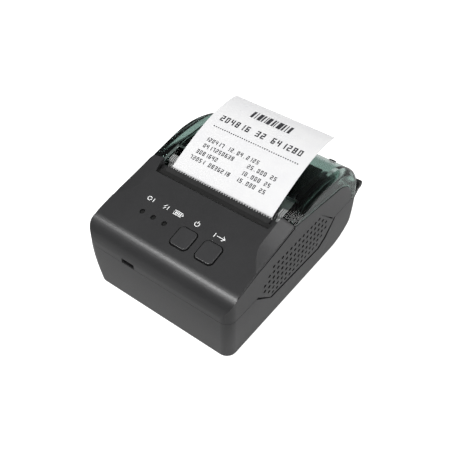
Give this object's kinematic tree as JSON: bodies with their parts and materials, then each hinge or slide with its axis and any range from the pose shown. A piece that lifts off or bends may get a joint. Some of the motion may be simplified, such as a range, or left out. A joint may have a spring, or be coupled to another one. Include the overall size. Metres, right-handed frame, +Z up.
{
  "type": "portable receipt printer",
  "caption": "Pocket thermal receipt printer: sloped two-part case, smoked cover on a rear hinge, two buttons, indicator lights, side grips and a strip of paper over the tear bar.",
  "frame": {"origin": "middle of the footprint on the surface the printer stands on", "axes": "+Z up, +Y from the button front towards the hinge, +X to the right seen from the front"},
  "size_m": [0.0822, 0.1114, 0.0592],
  "materials": {
    "case": "fine matte moulding texture",
    "cover": "smoked clear plastic, polished",
    "black_plastic": "satin",
    "black_rubber": "matte",
    "platen_rubber": "ground matte",
    "steel": "satin",
    "aluminium": "mill finish",
    "brass": "satin",
    "ceramic": "glazed",
    "bearing": "semi-gloss",
    "gear": "semi-gloss",
    "lens": "dark lens",
    "paper": "smooth thermal coating",
    "card": "raw",
    "board": "solder mask",
    "battery": "shrink wrap"
  },
  "bodies": {
    "housing": {"lower_case": "case", "upper_case": "case", "hinge_pin_left": "steel", "hinge_pin_right": "steel", "paper_bin": "black_plastic", "mechanism_frame": "black_plastic", "paper_sensor": "black_plastic", "print_head": "ceramic", "heat_sink": "aluminium", "head_spring": "steel", "tear_bar": "black_plastic", "stepper_motor": "steel", "idler_axle": "steel", "paper_web": "paper", "main_board": "board", "button_board": "board", "usb_socket": "steel", "power_switch": "black_plastic", "feed_switch": "black_plastic", "led_lens_power": "lens", "led_lens_charge": "lens", "led_lens_error": "lens", "battery_pack": "battery", "case_screw_front_left": "steel", "case_screw_front_right": "steel", "case_screw_rear_left": "steel", "case_screw_rear_right": "steel", "foot_front_left": "black_rubber", "foot_front_right": "black_rubber", "foot_rear_left": "black_rubber", "foot_rear_right": "black_rubber"},
    "cover": {"cover_shell": "cover", "cover_stop_left": "black_rubber", "cover_stop_right": "black_rubber", "platen_bush_left": "bearing", "platen_bush_right": "bearing", "paper_strip": "paper"},
    "platen": {"platen_roller": "platen_rubber", "platen_shaft": "steel", "platen_gear": "gear"},
    "idler": {"idler_gear": "gear"},
    "pinion": {"motor_pinion": "brass"},
    "roll": {"paper_roll": "paper", "roll_core": "card"},
    "power_button": {"power_button": "case"},
    "feed_button": {"feed_button": "case"},
    "battery_door": {"battery_door": "case"}
  },
  "joints": [
    {"name": "cover_hinge", "type": "hinge", "parent": "housing", "child": "cover", "pos_m": [0, 0.0535, 0.0274], "axis": [-1, 0, 0], "range_deg": [0, 100]},
    {"name": "roll_spin", "type": "hinge", "parent": "housing", "child": "roll", "pos_m": [0, 0.024, 0.0239], "axis": [1, 0, 0], "continuous": true},
    {"name": "platen_spin", "type": "hinge", "parent": "cover", "child": "platen", "pos_m": [0, -0.004, 0.0408], "axis": [1, 0, 0], "continuous": true},
    {"name": "idler_spin", "type": "hinge", "parent": "housing", "child": "idler", "pos_m": [-0.03645, -0.00859, 0.03425], "axis": [1, 0, 0], "continuous": true},
    {"name": "pinion_spin", "type": "hinge", "parent": "housing", "child": "pinion", "pos_m": [-0.03645, -0.01449, 0.03012], "axis": [1, 0, 0], "continuous": true},
    {"name": "power_press", "type": "slide", "parent": "housing", "child": "power_button", "axis": [0, 0.2385, -0.9711], "range_m": [0, 0.0004], "stiffness_N_per_m": 1500},
    {"name": "feed_press", "type": "slide", "parent": "housing", "child": "feed_button", "axis": [0, 0.2385, -0.9711], "range_m": [0, 0.0004], "stiffness_N_per_m": 1500},
    {"name": "battery_door_slide", "type": "slide", "parent": "housing", "child": "battery_door", "axis": [0, -1, 0], "range_m": [0, 0.005]}
  ],
  "couplings": [
    {"joint": "platen_spin", "follows": "roll_spin", "ratio": -4.625},
    {"joint": "idler_spin", "follows": "roll_spin", "ratio": 3.0833},
    {"joint": "pinion_spin", "follows": "roll_spin", "ratio": -6.1667}
  ]
}
